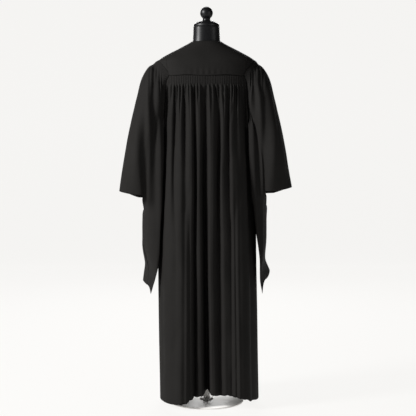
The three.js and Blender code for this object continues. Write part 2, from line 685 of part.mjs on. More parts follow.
add('yoke', clothWall(yokeGrid()), clothFinish());
add('back_panel', clothWall(backGrid()), clothFinish());
add('front_left', clothWall(frontGrid(1)), clothFinish());
add('front_right', clothWall(frontGrid(-1)), clothFinish());
Object.entries(SLEEVES).forEach(([name, sleeve]) => {
  add(name, clothWall(sleeveGrid(sleeve), true), clothFinish());
});
add('form_torso', torsoGeometry(), lacquerFinish());
add('form_cap', turned(capProfile()), lacquerFinish());
add('form_ball', turned(ballProfile()), lacquerFinish());
add('stand_pole', turned(poleProfile), steelFinish());
add('stand_base', turned(baseProfile()), steelFinish());

export default object;
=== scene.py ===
"""A graduation gown on a limbless dress form, as a set of add-on operators.

Sizes in the tables are millimetres; meshes are made in metres. The wearer's front faces -Y
and the wearer's left is +X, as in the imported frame.
"""

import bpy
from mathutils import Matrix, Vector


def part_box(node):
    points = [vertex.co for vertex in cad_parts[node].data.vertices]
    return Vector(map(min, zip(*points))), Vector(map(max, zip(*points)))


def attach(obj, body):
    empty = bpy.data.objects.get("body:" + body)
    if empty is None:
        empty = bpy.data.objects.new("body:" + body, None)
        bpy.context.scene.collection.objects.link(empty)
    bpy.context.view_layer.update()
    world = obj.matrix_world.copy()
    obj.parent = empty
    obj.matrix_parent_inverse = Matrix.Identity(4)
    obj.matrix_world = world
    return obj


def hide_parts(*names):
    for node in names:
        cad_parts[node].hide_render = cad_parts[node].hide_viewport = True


bl_info = {
    "name": "Graduation Gown on a Dress Form",
    "version": (1, 0, 0),
    "blender": (4, 5, 0),
    "location": "View3D > Sidebar > Gown",
    "description": "Builds a graduation gown, its dress form and a plain studio",
    "category": "Object",
}

import math

import bpy
import numpy as np
from bpy.props import FloatProperty, PointerProperty, StringProperty
from bpy.types import Operator, Panel, PropertyGroup
from mathutils import Vector

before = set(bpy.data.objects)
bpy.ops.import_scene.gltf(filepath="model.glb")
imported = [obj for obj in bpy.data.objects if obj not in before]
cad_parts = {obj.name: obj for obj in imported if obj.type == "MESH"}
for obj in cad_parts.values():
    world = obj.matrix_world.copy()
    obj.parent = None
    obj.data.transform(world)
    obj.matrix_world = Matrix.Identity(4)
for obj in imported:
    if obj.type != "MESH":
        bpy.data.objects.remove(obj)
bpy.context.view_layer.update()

MM = 0.001

# The form's upright axis, taken from its pole.
POLE_LOW, POLE_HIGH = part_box("stand_pole")
AXIS_X = (POLE_LOW[0] + POLE_HIGH[0]) / 2 / MM
AXIS_Y = (POLE_LOW[1] + POLE_HIGH[1]) / 2 / MM

# ---- The gown's cut and hang, in millimetres ---------------------------------------------

YOKE_SEAM_Z = 1228
BAND_BOTTOM_Z = 1190
NECKLINE_Z = 1357
UNDERARM_Z = 1034
SEAM_GAP = 0.3
ROUNDNESS = 2.45  # of the gown's outline in plan: 2 is an ellipse, and more is squarer

# The outline at the crest of the folds: level, half width, back and front depth from the
# form's axis, and lean towards +X.
GOWN_LEVELS = np.array([
    # z, wide, back, front, lean
    (1357, 55.5, 55, 55, 0),
    (1351, 65, 59, 58, 0),
    (1333, 99, 69, 66, 0),
    (1314, 136, 81, 77, 0),
    (1296, 168, 92, 87, 0),
    (1284, 181, 98, 93, 0),
    (1262, 186, 105, 101, 0),
    (1228, 187, 113, 110, 0),
    (1190, 187, 119, 118, 0),
    (1100, 186, 132, 127, 0),
    (960, 184, 146, 133, -1),
    (800, 184, 157, 137, -2),
    (600, 184.6, 167, 142, -2.5),
    (300, 186.3, 177, 148, -6),
    (20, 186.6, 186, 155, -11),
], float)

# The armhole: turn from the point of the shoulder, height, and distance out on the back and
# on the front.
ARMHOLE = np.array([
    # turn, z, back x, front x
    (0, 1291, 182, 182),
    (28, 1264, 158, 167),
    (55, 1229, 137, 154),
    (72, 1204, 147, 149),
    (115, 1120, 152, 147),
    (150, 1060, 156, 153),
    (168, 1040, 171, 171),
    (180, 1034, 186, 186),
], float)
YOKE_CORNER_TURN = 55

# The back panel's fold lines from the wearer's left to right: where each crest or valley lies
# across at five levels, its depth behind the outline there, and the hem's height on it.
FOLD_LEVELS = (1190, 1060, 850, 600, 20)
BACK_FOLDS = (
    # across at each level, depth at each level, hem
    ((146, 152, 165, 168, 163), (3, 9, 13, 7, 2), 20),
    ((126, 132, 136, 137, 140), (0, 0, 0, 0, 0), 20),
    ((110, 113, 119, 112, 117), (7, 14, 11, 3, 1), 21),
    ((96, 97, 101, 99, 102), (0, 0, 0, 0, 0), 23),
    ((80, 79, 76, 77, 79), (7, 15, 13, 9, 9), 27),
    ((62, 59, 57, 60, 61), (0, 1, 6, 17, 24), 38),
    ((46, 41, 38, 42, 44), (7, 18, 32, 46, 60), 44),
    ((30, 28, 27, 27, 24), (0, 0, 6, 24, 44), 49),
    ((4, 7, 9, 4, -4), (8, 20, 40, 66, 104), 64),
    ((-12, -18, -20, -17, -26), (0, 0, 5, 20, 38), 54),
    ((-34, -46, -43, -42, -51), (7, 17, 30, 42, 54), 52),
    ((-62, -64, -60, -70, -78), (0, 0, 6, 20, 32), 56),
    ((-78, -76, -79, -90, -93), (7, 14, 16, 22, 30), 52),
    ((-98, -94, -101, -104, -112), (0, 0, 0, 6, 12), 49),
    ((-108, -108, -118, -119, -127), (6, 4, -1, -3, -6), 46),
    ((-118, -121, -134, -136, -146), (0, 0, -2, -7, -10), 41),
    ((-134, -146, -158, -166, -172), (4, 15, 18, 12, 5), 28),
)
SIDE_HEM_Z = 20

# Each front's folds, from its open edge to the side seam: turn from the side seam towards
# the middle of the front, and the depth at the chest and at the hem.
FRONT_FOLDS = (
    (62, 0, 0),
    (53, 3, 16),
    (45, 0, 1),
    (35, 4, 24),
    (26, 0, 0),
    (17, 3, 15),
    (8, 0, 1),
    (0, 0, 8),
)
FRONT_HEM_Z = 34
FRONT_EDGE = np.array([(1355, 80), (1296, 66), (1200, 63), (20, 62)], float)  # z, turn

# Rings down a sleeve's bell: height and distance out of the outer edge and the inner edge,
# back and front depth from the form's axis, how far the middle is drawn in, and where the
# fold lies that hangs from the back of the armhole over the back panel.
BELL_RINGS = np.array([
    # z out, x out, z in, x in, back, front, drawn in, fold x, fold depth
    (1270, 208, 1026, 189, 97, 94, 34, 156, 94),
    (1221, 239, 1006, 190, 108, 100, 26, 156, 96),
    (1145, 260, 972, 190, 112, 103, 14, 157, 98),
    (1045, 283, 925, 191, 111, 103, 4, 158, 98),
    (950, 302, 875, 192, 107, 99, 0, 160, 98),
    (865, 317, 825, 193, 101, 93, 0, 162, 97),
], float)
CUFF_RING = (0, 326, 0, 193, 96, 88, 0, 163, 96)
HOOK_WIDTH = 17

# The two sleeves: the turns between which the tail begins, the cuff's heights, the tail's
# rings (its back and front edge, and how far out its outer and its inner layer lie), the
# heights along its sewn crescent end, and the folds on its back: how far out each line runs
# at the five levels, and its depth there.
SLEEVE_LEVELS = (1210, 1142, 950, 655, 430)
SLEEVES = {
    "sleeve_left": {
        "side": 1,
        "spread": 1.5,
        "tail_turns": (106, 254),
        "cuff": {"out": 801, "back": 789, "front": 772},
        "tail": np.array([
            # z, x back, back, x front, front, x out, x in
            (720, 166, 95, 214, 88, 234, 190),
            (620, 173, 92, 217, 80, 236, 190),
            (540, 178, 87, 228, 70, 239, 192),
            (480, 190, 81, 241, 62, 232, 200),
            (420, 207, 77, 248, 58, 226, 214),
        ], float),
        "end": {"back": 420, "middle": 446, "front": 456},
        "folds": (
            ((150, 153, 158, 160, 200), (0, 0, 0, 0, 0)),
            ((174, 176, 168, 168, 202), (7, 12, 9, 4, 0)),
            ((190, 194, 189, 188, 206), (0, 0, 0, 0, 0)),
            ((209, 212, 209, 211, 214), (8, 14, 13, 4, 0)),
            ((222, 226, 228, 228, 226), (0, 0, 0, 0, 0)),
            ((250, 254, 252, 236, 240), (1, 3, 12, 9, 4)),
            ((270, 276, 282, 300, 300), (0, 0, 0, 0, 0)),
        ),
    },
    "sleeve_right": {
        "side": -1,
        "spread": -5.5,
        "tail_turns": (120, 240),
        "cuff": {"out": 816, "back": 806, "front": 790},
        "tail": np.array([
            # z, x back, back, x front, front, x out, x in
            (720, 175, 95, 208, 88, 223, 190),
            (620, 190, 92, 211, 80, 225, 197),
            (540, 199, 86, 224, 70, 227, 205),
            (480, 199, 80, 246, 62, 228, 208),
            (420, 208, 76, 250, 58, 226, 214),
        ], float),
        "end": {"back": 422, "middle": 468, "front": 495},
        "folds": (
            ((150, 153, 158, 178, 200), (4, 6, 6, 0, 0)),
            ((158, 163, 172, 186, 204), (9, 16, 16, 5, 0)),
            ((172, 178, 184, 194, 210), (3, 4, 8, 1, 0)),
            ((184, 194, 206, 206, 214), (9, 17, 24, 7, 1)),
            ((197, 207, 215, 212, 222), (3, 7, 18, 2, 0)),
            ((212, 229, 244, 226, 230), (9, 20, 36, 9, 3)),
            ((232, 250, 262, 300, 300), (3, 8, 20, 0, 0)),
            ((250, 280, 300, 320, 320), (0, 0, 4, 0, 0)),
        ),
    },
}
END_GAP = 1.2

# ---- Curves --------------------------------------------------------------------------------


def mix(a, b, t):
    return a + (b - a) * t


def ease(t):
    return 0.5 - 0.5 * np.cos(np.pi * np.clip(t, 0, 1))


def curve(xs, ys):
    """A smooth curve through points with rising xs, which never overshoots them."""
    order = np.argsort(xs)
    xs = np.asarray(xs, float)[order]
    ys = np.asarray(ys, float)[order]
    rise = np.diff(ys) / np.diff(xs)
    same_way = rise[:-1] * rise[1:] > 0
    total = np.where(same_way, rise[:-1] + rise[1:], 1)
    inner = np.where(same_way, 2 * rise[:-1] * rise[1:] / total, 0)
    slope = np.concatenate([rise[:1], inner, rise[-1:]])

    def at(x):
        held = np.clip(x, xs[0], xs[-1])
        i = np.clip(np.searchsorted(xs, held, side="right") - 1, 0, len(xs) - 2)
        step = xs[i + 1] - xs[i]
        t = (held - xs[i]) / step
        t2 = t * t
        t3 = t2 * t
        return (
            (2 * t3 - 3 * t2 + 1) * ys[i]
            + (t3 - 2 * t2 + t) * step * slope[i]
            + (3 * t2 - 2 * t3) * ys[i + 1]
            + (t3 - t2) * step * slope[i + 1]
        )

    return at


def rounded(value):
    return np.sign(value) * np.abs(value) ** (2 / ROUNDNESS)


class Outline:
    """A closed outline at every level. Turn 0 is the back, 90 is +X and 180 is the front."""

    def __init__(self, rows):
        self.wide, self.back, self.front, self.lean = (
            curve(rows[:, 0], rows[:, k]) for k in range(1, 5)
        )

    def point(self, turn, z, inset=0.0):
        turn, z = np.broadcast_arrays(np.asarray(turn, float), np.asarray(z, float))
        angle = np.radians(turn)
        across = rounded(np.sin(angle))
        along = rounded(np.cos(angle))
        depth = np.where(along > 0, self.back(z), self.front(z)) * along
        sideways = np.sin(angle) ** 5
        inwards = np.cos(angle)
        length = np.hypot(sideways, inwards)
        return np.stack([
            self.lean(z) + self.wide(z) * across - inset * sideways / length,
            AXIS_Y + depth - inset * inwards / length,
            z,
        ], axis=-1)

    def turn_at(self, x, z):
        off = x - self.lean(z)
        share = np.minimum(1, np.abs(off) / self.wide(z))
        return np.sign(off) * np.degrees(np.arcsin(share ** (ROUNDNESS / 2)))


gown = Outline(GOWN_LEVELS)
armhole_z = curve(ARMHOLE[:, 0], ARMHOLE[:, 1])
armhole_back_x = curve(ARMHOLE[:, 1], ARMHOLE[:, 2])
armhole_front_x = curve(ARMHOLE[:, 1], ARMHOLE[:, 3])

# ---- Small folds, creases and unevenness of the cloth ----------------------------------------


def ripple(across, level, waves):
    """A sum of slow waves, for the unevenness of hanging cloth. Each wave is its length
    across and down, its phase and its height, all in millimetres but the phase."""
    total = 0.0
    for length_across, length_down, phase, height in waves:
        total = total + height * np.sin(
            2 * np.pi * (across / length_across + level / length_down) + phase
        )
    return total


CLOTH_RIPPLES = (
    (210, 640, 0.4, 1.2),
    (-130, 410, 2.1, 0.8),
    (83, -520, 4.0, 0.6),
    (47, 300, 1.3, 0.28),
    (-61, 170, 5.2, 0.25),
    (310, 95, 3.3, 0.22),
)


def trough(across, level, lines):
    """Soft troughs (or ridges, where the depth is negative). Each line runs from one end to
    the other with a depth in its middle and a half width."""
    total = np.zeros(np.broadcast(across, level).shape)
    for x0, z0, x1, z1, depth, width in lines:
        length = math.hypot(x1 - x0, z1 - z0)
        dx = (x1 - x0) / length
        dz = (z1 - z0) / length
        along = (across - x0) * dx + (level - z0) * dz
        aside = -(across - x0) * dz + (level - z0) * dx
        ends = ease(along / (0.35 * length)) * ease((length - along) / (0.35 * length))
        total = total + depth * ends * np.exp(-((aside / width) ** 2))
    return total


# ---- Meshes --------------------------------------------------------------------------------


def grid_object(name, points, is_ring=False, mask=None, thickness=0.8, smooth=True):
    """A thin cloth shell through a grid of points in millimetres."""
    rows, columns = points.shape[:2]
    kept = np.ones((rows, columns), bool) if mask is None else mask
    index = -np.ones((rows, columns), int)
    index[kept] = np.arange(kept.sum())
    faces = []
    for r in range(rows - 1):
        for i in range(columns if is_ring else columns - 1):
            j = (i + 1) % columns
            corners = (index[r, i], index[r, j], index[r + 1, j], index[r + 1, i])
            if min(corners) >= 0:
                faces.append(corners)
    return cloth_object(name, points[kept], faces, thickness, smooth)


def cloth_object(name, points, faces, thickness, smooth=True):
    mesh = bpy.data.meshes.new(name)
    placed = (np.asarray(points) + (AXIS_X, 0, 0)) * MM
    mesh.from_pydata(placed.tolist(), [], [tuple(map(int, f)) for f in faces])
    mesh.update()
    if smooth:
        mesh.shade_smooth()
    piece = bpy.data.objects.new(name, mesh)
    bpy.context.scene.collection.objects.link(piece)
    if thickness:
        shell = piece.modifiers.new("cloth thickness", "SOLIDIFY")
        shell.thickness = thickness * MM
        shell.offset = 0
    return piece


def turned(name, profile, sides=96):
    """A solid of revolution about the form's axis, from (radius, height) pairs."""
    points = []
    faces = []
    rings = []
    for radius, z in profile:
        if radius == 0:
            rings.append([len(points)])
            points.append((0, AXIS_Y, z))
            continue
        rings.append(list(range(len(points), len(points) + sides)))
        for k in range(sides):
            angle = 2 * math.pi * k / sides
            points.append((radius * math.cos(angle), AXIS_Y + radius * math.sin(angle), z))
    for low, high in zip(rings, rings[1:]):
        for k in range(sides):
            j = (k + 1) % sides
            if len(low) == 1:
                faces.append((low[0], high[j], high[k]))
            elif len(high) == 1:
                faces.append((low[k], low[j], high[0]))
            else:
                faces.append((low[k], low[j], high[j], high[k]))
    return cloth_object(name, np.array(points, float), faces, 0)


def hold(piece, slot, *nodes):
    """Fixes a finished piece to the frame in place of its nodes."""
    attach(piece, "root")
    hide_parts(*nodes)
    return piece


# ---- Body of the gown ------------------------------------------------------------------------

SIDE_TURN = 89.95


def panel_edge_turn(z, armhole_x):
    at_armhole = gown.turn_at(armhole_x(z) - 2 * SEAM_GAP, z)
    return np.where(z <= UNDERARM_Z, SIDE_TURN, np.minimum(SIDE_TURN, at_armhole))


LEVELS_UP = FOLD_LEVELS[::-1]


def back_lines(z):
    """Turn, depth and hem height of every fold line at the levels z."""
    limit = panel_edge_turn(z, armhole_back_x)
    turns = [limit]
    depths = [np.zeros_like(z)]
    for across, deep, _ in BACK_FOLDS:
        at = curve(LEVELS_UP, across[::-1])(z)
        turns.append(np.clip(gown.turn_at(at, z), 2 - limit, limit - 2))
        depths.append(curve((*LEVELS_UP, YOKE_SEAM_Z), (*deep[::-1], 0))(z))
    turns.append(-limit)
    depths.append(np.zeros_like(z))
    return np.stack(turns), np.stack(depths)


BACK_HEMS = np.array([SIDE_HEM_Z, *(hem for _, _, hem in BACK_FOLDS), SIDE_HEM_Z], float)
HEM_ROUNDNESS = 1.9
CREST_ROUNDNESS = 1.35  # over 1, the crests are round and wide and the valleys narrow


def back_gathers(s, x, z):
    """Fine pleats held in the band, and the small folds that they let out below it, which
    follow the main fold lines s."""
    phase = 2 * np.pi * (1.5 * s + 0.16 * np.sin(0.9 * s + 1) + 0.1 * np.sin(2.3 * s))
    length = 105 + 38 * np.sin(2.1 * s + 0.6) + 22 * np.sin(5.3 * s)
    below = BAND_BOTTOM_Z - z
    let_out = ease((below + 7) / 12) * ease((length + 20 - below) / length)
    size = 2.9 + 0.8 * np.sin(1.7 * s + 2) + 0.5 * np.sin(4.1 * s)
    held = 0.75 * np.sin(2 * np.pi * x / 6.2 + 1.2 * np.sin(x / 23))
    in_band = ease((z - BAND_BOTTOM_Z + 4) / 8) * ease((YOKE_SEAM_Z - z) / 3)
    puff = -1.6 * np.exp(-(((below - 8) / 11) ** 2))
    groove = 1.3 * np.exp(-(((below + 5) / 3.2) ** 2))
    groove = groove + 1.6 * np.exp(-(((YOKE_SEAM_Z - z) / 3.5) ** 2))
    return let_out * size * np.cos(phase) + in_band * held + puff + groove


def armhole_puckers(x, z):
    """Short puckers along the back of each armhole, where the sleeve is sewn in."""
    aside = np.abs(np.abs(x) - armhole_back_x(z))
    reach = ease((z - 1045) / 40) * ease((1215 - z) / 30)
    return 1.5 * reach * np.exp(-aside / 7) * np.sin(2 * np.pi * z / 15 + 1.3 * np.sin(z / 21))


BACK_CREASES = (
    # x, z at one end, x, z at the other, depth, half width
    (92, 1178, 70, 1085, 2.2, 5),
    (-52, 1180, -68, 1120, 2.4, 4),
    (-100, 1130, -82, 1040, 2.0, 6),
    (22, 1172, 14, 1096, 2.0, 5),
    (118, 1010, 96, 900, 2.0, 9),
    (-92, 960, -60, 850, 1.8, 10),
    (-118, 800, -88, 640, 1.8, 12),
    (60, 830, 84, 700, 1.6, 10),
    (112, 560, 86, 400, 1.8, 12),
    (-100, 420, -130, 290, 1.6, 12),
    (96, 330, 132, 180, 1.8, 13),
    (-120, 210, -92, 90, 1.6, 11),
)


def back_points(columns_each=13, rows=176):
    intervals = len(BACK_HEMS) - 1
    s = np.linspace(0, intervals, intervals * columns_each + 1)
    k = np.minimum(s.astype(int), intervals - 1)
    f = s - k
    # rows lie closer together in the band and where the small folds are let out
    down = np.linspace(0, 1, rows) ** 1.25
    rises = BACK_HEMS[k + 1] > BACK_HEMS[k]
    hem_shape = np.where(rises, ease(f ** HEM_ROUNDNESS), 1 - ease((1 - f) ** HEM_ROUNDNESS))
    hem = mix(BACK_HEMS[k], BACK_HEMS[k + 1], hem_shape)
    z = mix(YOKE_SEAM_Z - SEAM_GAP, hem[None, :], down[:, None])
    turns, depths = back_lines(z)
    row = np.arange(rows)[:, None]
    column = np.arange(len(s))[None, :]
    t0, t1 = turns[k[None, :], row, column], turns[k[None, :] + 1, row, column]
    d0, d1 = depths[k[None, :], row, column], depths[k[None, :] + 1, row, column]
    sharp = CREST_ROUNDNESS + 0.011 * np.abs(d1 - d0)
    shape = np.where(d1 > d0, ease(f[None, :] ** sharp), 1 - ease((1 - f[None, :]) ** sharp))
    turn = mix(t0, t1, f[None, :])
    depth = mix(d0, d1, shape) * ease((BAND_BOTTOM_Z + 9 - z) / 24)
    flat = gown.point(turn, z)
    near_edge = ease(s / 0.6) * ease((intervals - s) / 0.6)
    loose = ease((BAND_BOTTOM_Z - z) / 160)
    small = back_gathers(s[None, :], flat[..., 0], z) + trough(flat[..., 0], z, BACK_CREASES)
    small = small + armhole_puckers(flat[..., 0], z)
    small = small + loose * ripple(flat[..., 0], z, CLOTH_RIPPLES)
    return gown.point(turn, z, depth + near_edge[None, :] * small)


YOKE_SHARE = 0.7
YOKE_PROUD = 1.5


def yoke_points(rows=44):
    c = np.concatenate([
        np.linspace(-1, -YOKE_SHARE, 25),
        np.linspace(-YOKE_SHARE, YOKE_SHARE, 97)[1:-1],
        np.linspace(YOKE_SHARE, 1, 25),
    ])
    share = np.abs(c)
    corner_x = armhole_back_x(YOKE_SEAM_Z) - SEAM_GAP
    seam_x = c / YOKE_SHARE * corner_x
    up = np.clip((share - YOKE_SHARE) / (1 - YOKE_SHARE), 0, 1)
    arm_z = armhole_z(YOKE_CORNER_TURN * (1 - up))
    arm_x = np.sign(c) * (armhole_back_x(arm_z) - 2 * SEAM_GAP)
    edge_x = np.where(share <= YOKE_SHARE, seam_x, arm_x)
    # the bottom seam dips a little at the corners and at the middle
    dip = 1.6 * np.cos(2 * np.pi * seam_x / 150) * ease((YOKE_SHARE - share) / 0.1)
    edge_z = np.where(share <= YOKE_SHARE, YOKE_SEAM_Z - 0.6, np.maximum(arm_z, YOKE_SEAM_Z - 0.6))
    edge_z = edge_z - dip
    edge_turn = np.clip(gown.turn_at(edge_x, edge_z), -SIDE_TURN, SIDE_TURN)
    top_turn = SIDE_TURN * np.sign(c) * share ** 0.9
    down = np.linspace(0, 1, rows)[:, None]
    turn = mix(top_turn[None, :], edge_turn[None, :], down ** 0.8)
    z = mix(NECKLINE_Z, edge_z[None, :], down)
    flat = gown.point(turn, z)
    x = flat[..., 0]
    puckers = 0.9 * np.exp(-(((z - YOKE_SEAM_Z) / 22) ** 2)) * np.sin(2 * np.pi * x / 23 + np.sin(x / 40))
    puckers = puckers * np.exp(-((x / 70) ** 2)) * ease((z - YOKE_SEAM_Z) / 6)
    soft = 0.5 * np.sin(2 * np.pi * (x / 160 + z / 210)) + 0.35 * np.sin(2 * np.pi * (x / 90 - z / 120) + 1)
    inside = ease(down * 5) * ease((1 - down) * 5)
    return gown.point(turn, z, -YOKE_PROUD + puckers + soft * inside)


def front_points(side, columns_each=12, rows=150):
    last = len(FRONT_FOLDS) - 1
    s = np.linspace(0, last, last * columns_each + 1)
    k = np.minimum(s.astype(int), last - 1)
    f = s - k
    folds = np.array(FRONT_FOLDS, float)
    share = s / last
    down = (np.linspace(0, 1, rows) ** 1.15)[:, None]
    z = mix(mix(1355, armhole_z(0) + 0.5, share)[None, :], mix(FRONT_HEM_Z, SIDE_HEM_Z, share)[None, :], down)
    seam = 90 - np.minimum(SIDE_TURN, panel_edge_turn(z, armhole_front_x))
    open_turn = curve(FRONT_EDGE[:, 0], FRONT_EDGE[:, 1])(z)
    inward = curve(np.arange(last + 1), folds[:, 0])(s)[None, :]
    target = seam + inward / folds[0, 0] * (open_turn - seam)
    off_shoulder = np.maximum(ease(down / 0.05), share[None, :] ** 3)
    turn = 90 + mix(90 - SIDE_TURN, target, off_shoulder)
    chest = mix(folds[k, 1], folds[k + 1, 1], ease(f))[None, :]
    hem = mix(folds[k, 2], folds[k + 1, 2], ease(f))[None, :]
    depth = ease((1280 - z) / 120) * mix(chest, hem, np.clip((1100 - z) / 1080, 0, 1))
    flat = gown.point(side * turn, z)
    near_edge = ease(s / 0.3) * ease((last - s) / 0.3)
    loose = ease((1280 - z) / 200) * near_edge[None, :]
    return gown.point(side * turn, z, depth + loose * ripple(flat[..., 0] + 40 * side, z, CLOTH_RIPPLES))


# ---- Sleeves ---------------------------------------------------------------------------------


def ring_base(ring, turn):
    z_out, x_out, z_in, x_in, back_depth, front_depth, drawn_in = ring[:7]
    out = np.cos(np.radians(turn))
    back = np.sin(np.radians(turn))
    depth = np.where(back > 0, back_depth, front_depth)
    return np.stack([
        (x_out + x_in) / 2 + (x_out - x_in) / 2 * rounded(out) - drawn_in * back * back,
        AXIS_Y + depth * rounded(back),
        mix(z_in, z_out, (1 + out) / 2),
    ], axis=-1)


def bell_ring(ring, turn, hook_turn, spread):
    """One ring of the bell: turn 0 is its outer edge, 90 the back and 180 the inner edge."""
    ring = (ring[0], ring[1] + spread, *ring[2:])
    point = ring_base(ring, turn)
    corner = ring_base(ring, np.array([float(hook_turn)]))[0]
    near = np.exp(-(((turn - hook_turn) / HOOK_WIDTH) ** 2))
    point[:, 0] += near * (ring[7] - corner[0])
    point[:, 1] += near * (AXIS_Y + ring[8] - corner[1])
    return point


def armhole_ring(turn):
    is_back = turn <= 180
    z = armhole_z(np.where(is_back, turn, 360 - turn))
    x = np.where(is_back, armhole_back_x(z), armhole_front_x(z))
    body_turn = gown.turn_at(x, z)
    point = gown.point(np.where(is_back, body_turn, 180 - body_turn), z)
    under = np.maximum(0, -np.cos(np.radians(turn)))
    point[:, 0] += mix(np.where(is_back, 1.2, 3.5), 3.5, under)
    point[:, 2] -= 2.2 * under
    return point


def cuff_ring(cuff, turn, hook_turn, spread):
    point = bell_ring(CUFF_RING, turn, hook_turn, spread)
    low = np.where(np.sin(np.radians(turn)) > 0, cuff["back"], cuff["front"])
    point[:, 2] = mix(low, cuff["out"], np.maximum(0, np.cos(np.radians(turn))))
    return point


def fold_depth(folds, x, z):
    """The depth of a sleeve's folds at x out and height z, between its crests and valleys."""
    lines = np.stack([curve(SLEEVE_LEVELS[::-1], across[::-1])(z) for across, _ in folds])
    depths = np.stack([curve(SLEEVE_LEVELS[::-1], deep[::-1])(z) for _, deep in folds])
    total = np.zeros(x.shape)
    for k in range(len(folds) - 1):
        between = (x >= lines[k]) & (x < lines[k + 1])
        share = (x - lines[k]) / np.maximum(lines[k + 1] - lines[k], 1)
        total = np.where(between, mix(depths[k], depths[k + 1], ease(share)), total)
    return total


def outward(points):
    """The outward normals of a ring grid whose columns turn from its outer edge to its back."""
    across = np.roll(points, -1, axis=1) - np.roll(points, 1, axis=1)
    down = np.gradient(points, axis=0)
    normal = np.cross(across, down)
    normal /= np.maximum(np.linalg.norm(normal, axis=-1, keepdims=True), 1e-9)
    return normal


def clear_of_body(points, gap, side):
    """Pushes points (on the wearer's left, or mirrored) out of the body's outline by a gap."""
    z = points[..., 2]
    x = side * points[..., 0] - gown.lean(z)
    y = points[..., 1] - AXIS_Y
    depth = np.where(y > 0, gown.back(z), gown.front(z))
    size = (np.abs(x) / gown.wide(z)) ** ROUNDNESS + (np.abs(y) / depth) ** ROUNDNESS
    size = np.maximum(size, 1e-6) ** (1 / ROUNDNESS)
    reach = np.hypot(x, y) / size
    scale = np.maximum(1, (1 + gap / reach) / size)
    moved = points.copy()
    moved[..., 0] = side * (x * scale + gown.lean(z))
    moved[..., 1] = AXIS_Y + y * scale
    return moved


HEAD_TURNS = (-66, 76)


def head_gathers(turns, along):
    """The fine pleats held along the head of a sleeve, and the fullness let out past them."""
    middle = (turns + 180) % 360 - 180
    in_head = ease((middle - HEAD_TURNS[0]) / 14) * ease((HEAD_TURNS[1] - middle) / 10)
    held = 0.7 * np.sin(2 * np.pi * middle / 4.1)
    in_band = ease(along / 0.01) * ease((0.07 - along) / 0.014)
    puff = 2.6 * np.exp(-(((along - 0.105) / 0.035) ** 2))
    return in_head * (in_band * held + puff)


HEAD_SEAM = curve((137, 158, 182, 230), (1229, 1264, 1291, 1296))


def hanging_gathers(x, z):
    """The small folds that hang from the gathered head of a sleeve, x out and at height z."""
    below = HEAD_SEAM(x) - 30 - z
    length = 120 + 45 * np.sin(x / 6.1) + 25 * np.sin(x / 3.3 + 1)
    let_out = ease((below + 10) / 20) * ease((length - below) / length)
    phase = 2 * np.pi * x / 10.5 + 1.1 * np.sin(x / 9 + 0.5)
    return let_out * (3.3 + 0.9 * np.sin(x / 11)) * np.cos(phase)


